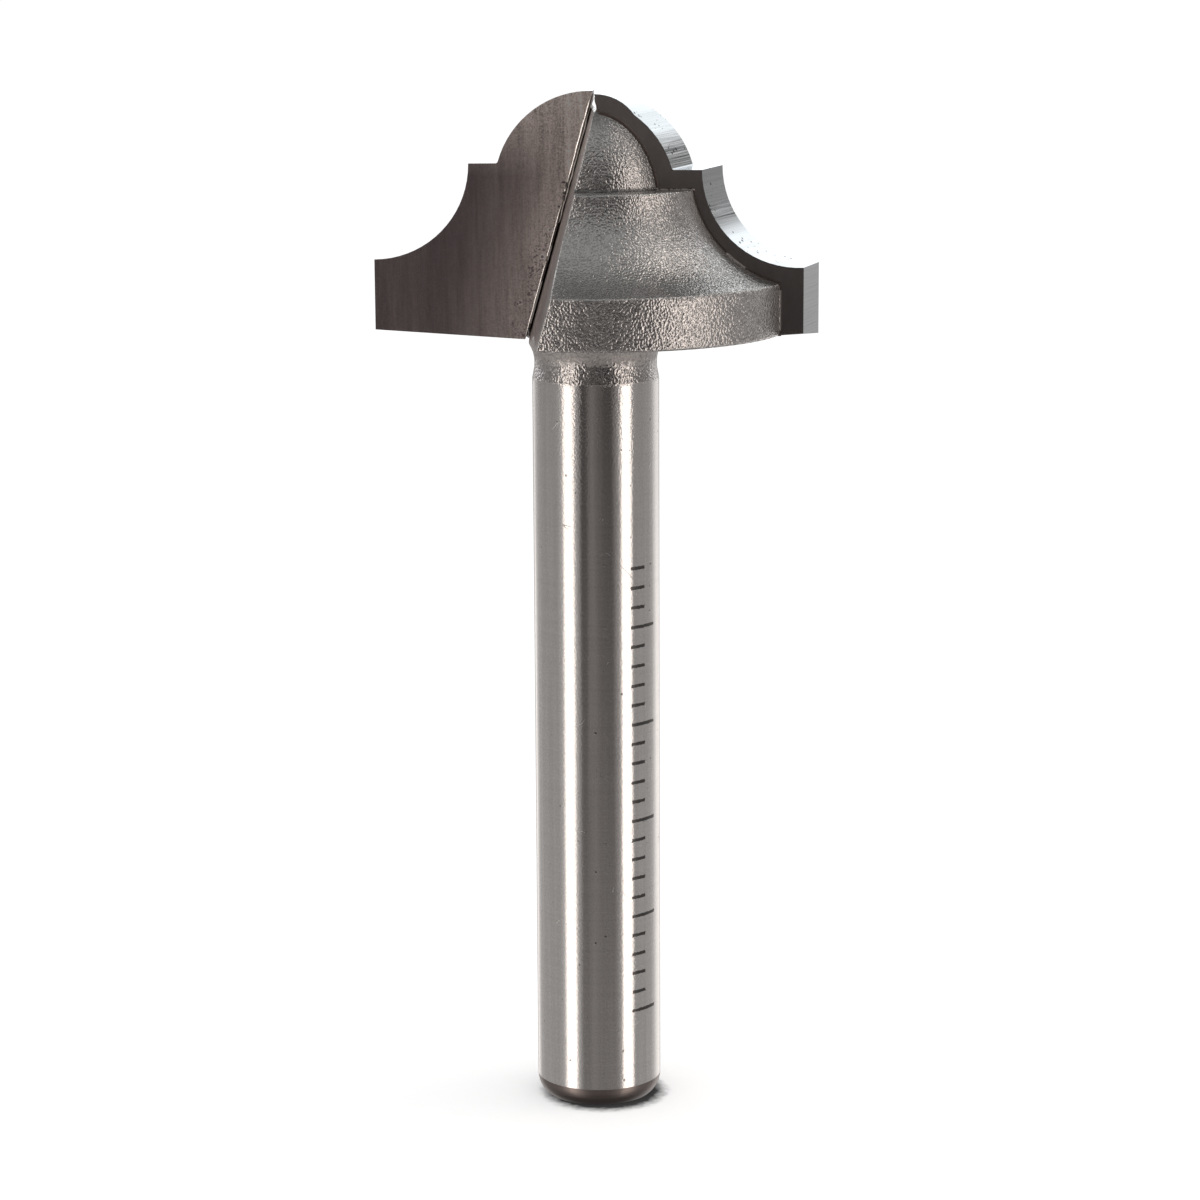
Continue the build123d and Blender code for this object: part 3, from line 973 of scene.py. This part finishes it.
def tent_material(settings):
    """Glow of the tent: grey cards, two bright strips, a bright back and a grey top."""
    material, tree, place = new_material("light_tent")
    x, y, z = axes_of(tree, place)
    angle = calculate(tree, "ARCTAN2", x, product(tree, y, -1.0))
    turned = calculate(tree, "WRAP", calculate(tree, "SUBTRACT", angle, settings.azimuth), pi, -pi)
    ramp = add_node(tree, "ShaderNodeValToRGB", {"Fac": spread(tree, turned, -pi, pi)})
    brightest = max(brightness for _, brightness in TENT_LIGHT)
    stops = ramp.color_ramp.elements
    stops.remove(stops[1])
    for number, (degree, brightness) in enumerate(TENT_LIGHT):
        at = (degree + 180) / 360
        stop = stops.new(at) if number else stops[0]
        stop.position = at
        stop.color = (*(brightness / brightest,) * 3, 1.0)
    share = add_node(tree, "ShaderNodeRGBToBW", {"Color": ramp.outputs["Color"]}).outputs["Val"]
    level = product(tree, share, brightest)

    # Lighter below the horizon, where the floor would show, and grey underneath
    reach = off_axis(tree, x, y)
    elevation = calculate(tree, "ARCTAN2", z, reach)
    near_floor = spread(tree, elevation, radians(-12), radians(-8.5), 1.0, 0.0)
    level = product(tree, level, calculate(tree, "MULTIPLY_ADD", near_floor, 0.35, 1.0))
    far_floor = spread(tree, elevation, radians(-28), radians(-12), 0.22, 0.0)
    level = calculate(tree, "MAXIMUM", level, calculate(tree, "MULTIPLY_ADD", near_floor, 0.12, far_floor))
    underneath = spread(tree, elevation, radians(-62), radians(-40), 1.0, 0.0)
    level = mix_values(tree, underneath, level, GROUND_LIGHT)

    # The bright back, which lights the relief of the right tip
    off_front = calculate(tree, "ABSOLUTE", turned)
    behind = spread(tree, off_front, radians(122), radians(131), kind="SMOOTHSTEP")
    back_start = spread(tree, elevation, radians(2), radians(7), kind="SMOOTHSTEP")
    back_end = spread(tree, elevation, radians(37), radians(46), 1.0, 0.0, kind="SMOOTHSTEP")
    back = product(tree, back_start, back_end, behind)

    # The grey top, and the tints
    above = spread(tree, elevation, radians(33), radians(40), kind="SMOOTHSTEP")
    top = spread(tree, y, -0.1 * TENT_RADIUS, 0.35 * TENT_RADIUS, FRONT_TOP_LIGHT, BACK_TOP_LIGHT)
    tint = mix_colours(tree, spread(tree, level, 0.05, 0.4), WARM_TINT, PLAIN_TINT)
    tint = mix_colours(tree, spread(tree, level, 1.1, 1.8), tint, STRIP_TINT)
    level = mix_values(tree, above, level, top)
    tint = mix_colours(tree, above, tint, TOP_TINT)
    level = mix_values(tree, back, level, BACK_LIGHT)
    tint = mix_colours(tree, back, tint, BACK_TINT)
    glow = add_node(tree, "ShaderNodeEmission", {"Color": tint, "Strength": level})
    add_node(tree, "ShaderNodeOutputMaterial", {"Surface": glow.outputs[0]})
    return material


def pitch_tent(settings):
    """A round tent that only reflections see, far enough away to look the same from the whole bit."""
    builder = bmesh.new()
    bmesh.ops.create_uvsphere(builder, u_segments=64, v_segments=32, radius=TENT_RADIUS)
    tent = stage_object("light_tent", builder, tent_material(settings))
    tent.location.z = TENT_CENTRE
    tent.visible_camera = False
    tent.visible_diffuse = False
    tent.visible_transmission = False
    tent.visible_shadow = False


def hang_lamps(settings):
    """Two tall soft lamps at the front and a soft one overhead, which the camera doesn't see."""
    head = Vector((0, 0, TIP_LOW.z))
    for name, angle, elevation, distance, width, height, radiance in LAMPS:
        lamp = bpy.data.lights.new(name, "AREA")
        lamp.shape = "RECTANGLE"
        lamp.size, lamp.size_y = width, height
        lamp.energy = radiance * pi * width * height
        lamp.color = settings.lamp_colour
        out = direction(angle, settings) * cos(radians(elevation)) + Vector((0, 0, sin(radians(elevation))))
        holder = bpy.data.objects.new(name, lamp)
        holder.location = head + out * distance
        holder.rotation_euler = out.to_track_quat("Z", "Y").to_euler()
        holder.visible_camera = False
        bpy.context.scene.collection.objects.link(holder)


# Operators


class FinishSteelBody(bpy.types.Operator):
    """Grinds the shank, blasts the neck and head, and mills the gullets"""

    bl_idname = "router_bit.finish_steel_body"
    bl_label = "Finish steel body"

    def execute(self, context):
        settings = context.scene.router_bit_steel
        ground, blasted = ground_steel(settings), blasted_steel(settings)
        turned, milled = turned_steel(settings), milled_steel(settings)

        def choose(polygon):
            centre, normal = polygon.center, polygon.normal
            wall = abs(normal.z - INNER_SLOPE * abs(normal.x)) < 0.01 and abs(normal.x) > 0.9
            seat = abs(normal.y) > 0.999 and abs(centre.y) < 1.1 * abs(BACK_DEPTH)
            if centre.z < GROUND_FOOT:
                return turned
            if centre.z < GROUND_TOP:
                return ground
            if centre.z > SEAM_FOOT - 1.5 * MM and (wall or seat):
                return milled
            return blasted

        set_materials("steel_body", [ground, blasted, turned, milled], choose)
        return {"FINISHED"}


class FinishCarbideTips(bpy.types.Operator):
    """Gives each carbide tip its rake face, its back and its ground relief"""

    bl_idname = "router_bit.finish_carbide_tips"
    bl_label = "Finish carbide tips"

    def execute(self, context):
        settings = context.scene.router_bit_carbide
        rake, back, relief = carbide_rake(settings), carbide_back(settings), carbide_relief(settings)

        def choose(polygon):
            if abs(polygon.normal.y) < 0.98:
                return relief
            return rake if abs(polygon.center.y) < abs(RAKE_DEPTH) * 1.05 else back

        for side, _ in SIDES:
            set_materials(f"{side}_carbide_tip", [rake, back, relief], choose)
        return {"FINISHED"}


class LaySolder(bpy.types.Operator):
    """Colours the solder seams and lays the beads, the fillets, the lumps and the burnt flux beside them"""

    bl_idname = "router_bit.lay_solder"
    bl_label = "Lay solder"

    def execute(self, context):
        settings = context.scene.router_bit_solder
        seam = solder("seam_solder", SEAM_STRETCHES, 0.8, settings)
        bead = solder("bead_solder", BEAD_GLOSS, 1.0, settings)
        fill = solder("slit_solder", (SLIT_FILL,), 0.24, settings)
        flux = burnt_flux(settings)
        for seed, (side, turn) in enumerate(SIDES):
            set_materials(f"{side}_braze_seam", [seam], lambda polygon: seam)
            builder = bmesh.new()
            for low, high, share in BEAD_STRETCHES[side]:
                add_bead(builder, low, high, settings.bead_radius * share, BEAD_SHIFT, 7.0 * seed)
            new_piece(f"{side}_solder_bead", builder, turn, bead)
            builder = bmesh.new()
            add_point_fillet(builder, 3.0 + seed)
            new_piece(f"{side}_point_fillet", builder, turn, seam)
            builder = bmesh.new()
            add_bead(builder, *SLIT_FILL, SLIT_RADIUS, SLIT_SHIFT, 5.0 + seed)
            new_piece(f"{side}_slit_solder", builder, turn, fill)
            builder = bmesh.new()
            for number, (offset, size) in enumerate(FOOT_LUMPS):
                add_lump(builder, INNER_FOOT + Vector(offset), size, 5.0 * seed + number)
            new_piece(f"{side}_solder_foot", builder, turn, material_named("blasted_steel"))
            builder = bmesh.new()
            for number, (height, offset, size) in enumerate(FLUX_LUMPS[side]):
                add_lump(builder, inner_edge(height) + Vector(offset), size, 9.0 * seed + number)
            new_piece(f"{side}_burnt_flux", builder, turn, flux)
        return {"FINISHED"}


class BuildStudio(bpy.types.Operator):
    """Lays the floor, hangs the lamps and the light tent round the bit and stands the camera before it"""

    bl_idname = "router_bit.build_studio"
    bl_label = "Build studio"

    def execute(self, context):
        settings = context.scene.router_bit_studio
        stand_camera(settings)
        light_sky(settings)
        lay_floor(settings)
        pitch_tent(settings)
        hang_lamps(settings)
        context.scene.view_settings.view_transform = "Standard"
        return {"FINISHED"}


# Panel and registration


class RouterBitPanel(bpy.types.Panel):
    """Lists the steps that finish the bit"""

    bl_idname = "VIEW3D_PT_router_bit"
    bl_label = "Router bit"
    bl_space_type = "VIEW_3D"
    bl_region_type = "UI"
    bl_category = "Router bit"

    def draw(self, context):
        for step in STEPS:
            self.layout.operator(step.bl_idname)


SETTINGS = {
    "router_bit_steel": SteelSettings,
    "router_bit_carbide": CarbideSettings,
    "router_bit_solder": SolderSettings,
    "router_bit_studio": StudioSettings,
}
STEPS = (BuildStudio, FinishSteelBody, FinishCarbideTips, LaySolder)


def register():
    """Registers the settings, the operators and the panel."""
    for name, group in SETTINGS.items():
        bpy.utils.register_class(group)
        setattr(bpy.types.Scene, name, PointerProperty(type=group))
    for step in (*STEPS, RouterBitPanel):
        bpy.utils.register_class(step)


def unregister():
    """Takes away what register added."""
    for step in (RouterBitPanel, *reversed(STEPS)):
        bpy.utils.unregister_class(step)
    for name, group in reversed(SETTINGS.items()):
        delattr(bpy.types.Scene, name)
        bpy.utils.unregister_class(group)


def main():
    """Registers the add-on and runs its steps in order."""
    register()
    bpy.ops.router_bit.build_studio()
    bpy.ops.router_bit.finish_steel_body()
    bpy.ops.router_bit.finish_carbide_tips()
    bpy.ops.router_bit.lay_solder()


if __name__ == "__main__":
    main()
